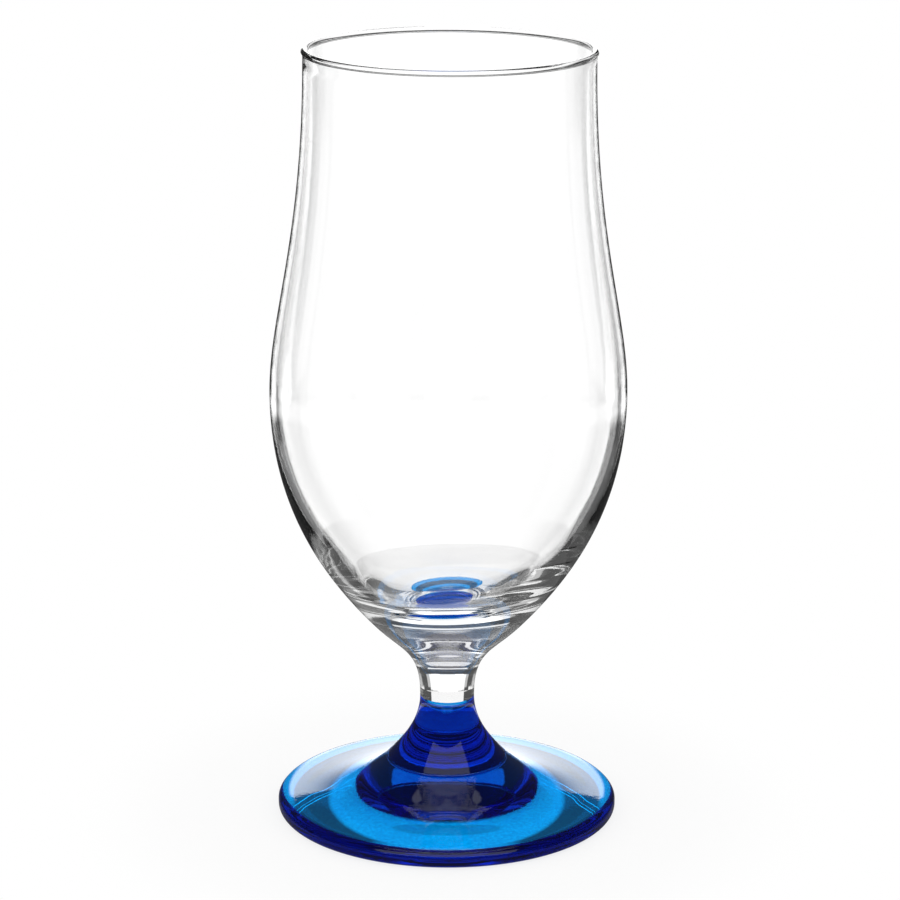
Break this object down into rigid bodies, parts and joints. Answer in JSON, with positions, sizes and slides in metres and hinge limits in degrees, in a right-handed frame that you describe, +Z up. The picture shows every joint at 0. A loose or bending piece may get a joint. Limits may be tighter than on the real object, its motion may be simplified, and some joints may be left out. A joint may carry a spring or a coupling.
{
  "type": "beer goblet",
  "caption": "Tall clear glass beer goblet with a waisted lip and a full belly on a short stem, fused to a blue neck and a round blue foot.",
  "frame": {"origin": "centre of the plane that the foot rests on", "axes": "+Z up along the axis of revolution, X and Y level"},
  "size_m": [0.0796, 0.0796, 0.175],
  "materials": {
    "clear_glass": "fire-polished, clear, colourless",
    "blue_glass": "fire-polished, clear, deep blue"
  },
  "bodies": {
    "root": {"bowl": "clear_glass", "stem": "clear_glass", "blue_neck": "blue_glass", "foot": "blue_glass"}
  },
  "joints": []
}
